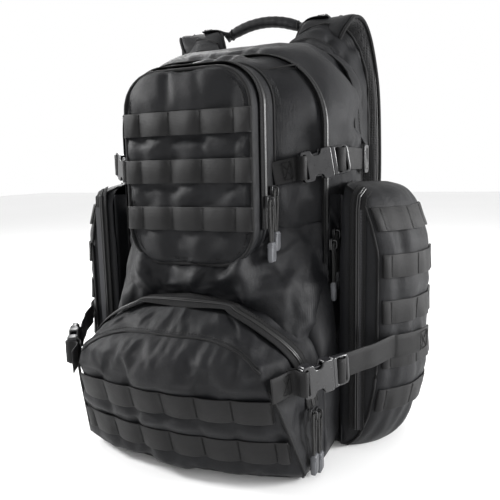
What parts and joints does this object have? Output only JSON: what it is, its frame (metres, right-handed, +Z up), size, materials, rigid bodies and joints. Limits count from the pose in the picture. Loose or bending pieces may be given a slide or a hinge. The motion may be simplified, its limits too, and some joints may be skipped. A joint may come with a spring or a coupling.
{
  "type": "trauma backpack",
  "caption": "Tactical medical backpack with arched upper pocket, wide lower pocket, tall side pockets, webbing loops, buckled compression straps, padded shoulder straps and carry handle.",
  "frame": {"origin": "on the flat base of the bag, on its middle line, 60 mm behind the front of its lower half", "axes": "+X to the right seen from the front, -Y out of the front of the pack, +Y towards the wearer, +Z up"},
  "size_m": [0.479, 0.3715, 0.5375],
  "materials": {
    "pack_fabric": "coated woven nylon, matt",
    "webbing": "ribbed nylon webbing",
    "strap_fabric": "woven nylon over foam",
    "mesh": "spacer mesh",
    "zip_tape": "knitted tape with a nylon coil",
    "buckle_plastic": "moulded acetal, satin",
    "sheet_plastic": "smooth polyethylene",
    "stay_metal": "mill finish",
    "slider_metal": "black enamel",
    "cord": "braided nylon",
    "tip_rubber": "moulded, matt"
  },
  "bodies": {
    "pack": {"bag": "pack_fabric", "frame_sheet": "sheet_plastic", "frame_stays": "stay_metal", "inner_sleeve": "pack_fabric", "lower_pocket": "pack_fabric", "lower_webbing": "webbing", "main_zip": "zip_tape", "lower_zip": "zip_tape", "side_zips": "zip_tape", "yoke": "pack_fabric", "yoke_wings": "pack_fabric", "back_pads": "mesh", "strap_tails": "webbing", "strap_adjusters": "buckle_plastic", "strap_sliders": "buckle_plastic", "handle_tabs": "webbing", "sternum_rails": "webbing", "compression_straps": "webbing", "lower_sockets": "buckle_plastic", "side_webbing": "webbing", "side_pocket_left": "pack_fabric", "side_pocket_right": "pack_fabric", "shoulder_strap_left": "strap_fabric", "shoulder_strap_right": "strap_fabric"},
    "main_flap": {"main_panel": "pack_fabric", "panel_organiser": "mesh", "pocket_gusset": "pack_fabric", "pocket_divider": "mesh", "pocket_zip": "zip_tape", "upper_front_straps": "webbing", "upper_sockets": "buckle_plastic"},
    "pocket_flap": {"pocket_face": "pack_fabric", "upper_webbing": "webbing"},
    "handle": {"handle": "strap_fabric"},
    "sternum_strap": {"sternum_clips": "buckle_plastic", "sternum_webbing": "webbing", "sternum_socket": "buckle_plastic"},
    "sternum_release": {"sternum_plug": "buckle_plastic"},
    "upper_plug_right": {"upper_plug_right": "buckle_plastic"},
    "lower_plug_right": {"lower_plug_right": "buckle_plastic"},
    "upper_plug_left": {"upper_plug_left": "buckle_plastic"},
    "lower_plug_left": {"lower_plug_left": "buckle_plastic"},
    "zip_upper_a": {"slider_upper_a": "slider_metal"},
    "pull_upper_a": {"cord_upper_a": "cord", "tip_upper_a": "tip_rubber"},
    "zip_upper_b": {"slider_upper_b": "slider_metal"},
    "pull_upper_b": {"cord_upper_b": "cord", "tip_upper_b": "tip_rubber"},
    "zip_main_a": {"slider_main_a": "slider_metal"},
    "pull_main_a": {"cord_main_a": "cord", "tip_main_a": "tip_rubber"},
    "zip_main_b": {"slider_main_b": "slider_metal"},
    "pull_main_b": {"cord_main_b": "cord", "tip_main_b": "tip_rubber"},
    "zip_lower_a": {"slider_lower_a": "slider_metal"},
    "pull_lower_a": {"cord_lower_a": "cord", "tip_lower_a": "tip_rubber"},
    "zip_lower_b": {"slider_lower_b": "slider_metal"},
    "pull_lower_b": {"cord_lower_b": "cord", "tip_lower_b": "tip_rubber"}
  },
  "joints": [
    {"name": "main_flap_fold", "type": "hinge", "parent": "pack", "child": "main_flap", "pos_m": [0, -0.058, 0.201], "axis": [1, 0, 0], "range_deg": [0, 40]},
    {"name": "pocket_flap_fold", "type": "hinge", "parent": "main_flap", "child": "pocket_flap", "pos_m": [0, -0.082, 0.222], "axis": [1, 0, 0], "range_deg": [0, 60]},
    {"name": "handle_swing", "type": "hinge", "parent": "pack", "child": "handle", "pos_m": [0, 0.143, 0.516], "axis": [1, 0, 0], "range_deg": [-20, 45]},
    {"name": "sternum_height", "type": "slide", "parent": "pack", "child": "sternum_strap", "axis": [0, 0, 1], "range_m": [-0.022, 0.022]},
    {"name": "sternum_unclip", "type": "slide", "parent": "sternum_strap", "child": "sternum_release", "axis": [-1, 0, 0], "range_m": [0, 0.026]},
    {"name": "upper_unclip_right", "type": "slide", "parent": "main_flap", "child": "upper_plug_right", "axis": [0.7559, 0.6283, 0.1841], "range_m": [0, 0.028]},
    {"name": "lower_unclip_right", "type": "slide", "parent": "pack", "child": "lower_plug_right", "axis": [0.5894, 0.8038, 0.0804], "range_m": [0, 0.028]},
    {"name": "upper_unclip_left", "type": "slide", "parent": "main_flap", "child": "upper_plug_left", "axis": [-0.7559, 0.6283, 0.1841], "range_m": [0, 0.028]},
    {"name": "lower_unclip_left", "type": "slide", "parent": "pack", "child": "lower_plug_left", "axis": [-0.5894, 0.8038, 0.0804], "range_m": [0, 0.028]},
    {"name": "zip_upper_a_slide", "type": "slide", "parent": "main_flap", "child": "zip_upper_a", "axis": [0, 0, 1], "range_m": [0, 0.06]},
    {"name": "pull_upper_a_swing", "type": "hinge", "parent": "zip_upper_a", "child": "pull_upper_a", "pos_m": [0.089, -0.0602, 0.303], "axis": [0, -1, 0], "range_deg": [0, 50]},
    {"name": "zip_upper_b_slide", "type": "slide", "parent": "main_flap", "child": "zip_upper_b", "axis": [0, 0, -1], "range_m": [0, 0.02]},
    {"name": "pull_upper_b_swing", "type": "hinge", "parent": "zip_upper_b", "child": "pull_upper_b", "pos_m": [0.089, -0.0738, 0.293], "axis": [0, -1, 0], "range_deg": [0, 50]},
    {"name": "zip_main_a_slide", "type": "slide", "parent": "pack", "child": "zip_main_a", "axis": [0, 0, 1], "range_m": [0, 0.055]},
    {"name": "pull_main_a_swing", "type": "hinge", "parent": "zip_main_a", "child": "pull_main_a", "pos_m": [0.141, 0.0006, 0.251], "axis": [0, -1, 0], "range_deg": [0, 4]},
    {"name": "zip_main_b_slide", "type": "slide", "parent": "pack", "child": "zip_main_b", "axis": [0, 0, -1], "range_m": [0, 0.012]},
    {"name": "pull_main_b_swing", "type": "hinge", "parent": "zip_main_b", "child": "pull_main_b", "pos_m": [0.141, -0.013, 0.241], "axis": [0, -1, 0], "range_deg": [0, 4]},
    {"name": "zip_lower_a_slide", "type": "slide", "parent": "pack", "child": "zip_lower_a", "axis": [0, 0, 1], "range_m": [0, 0.014]},
    {"name": "pull_lower_a_swing", "type": "hinge", "parent": "zip_lower_a", "child": "pull_lower_a", "pos_m": [0.1444, -0.086, 0.071], "axis": [0, -1, 0], "range_deg": [0, 50]},
    {"name": "zip_lower_b_slide", "type": "slide", "parent": "pack", "child": "zip_lower_b", "axis": [0, 0, 1], "range_m": [0, 0.01]},
    {"name": "pull_lower_b_swing", "type": "hinge", "parent": "zip_lower_b", "child": "pull_lower_b", "pos_m": [0.1428, -0.0996, 0.075], "axis": [0, -1, 0], "range_deg": [0, 50]}
  ]
}
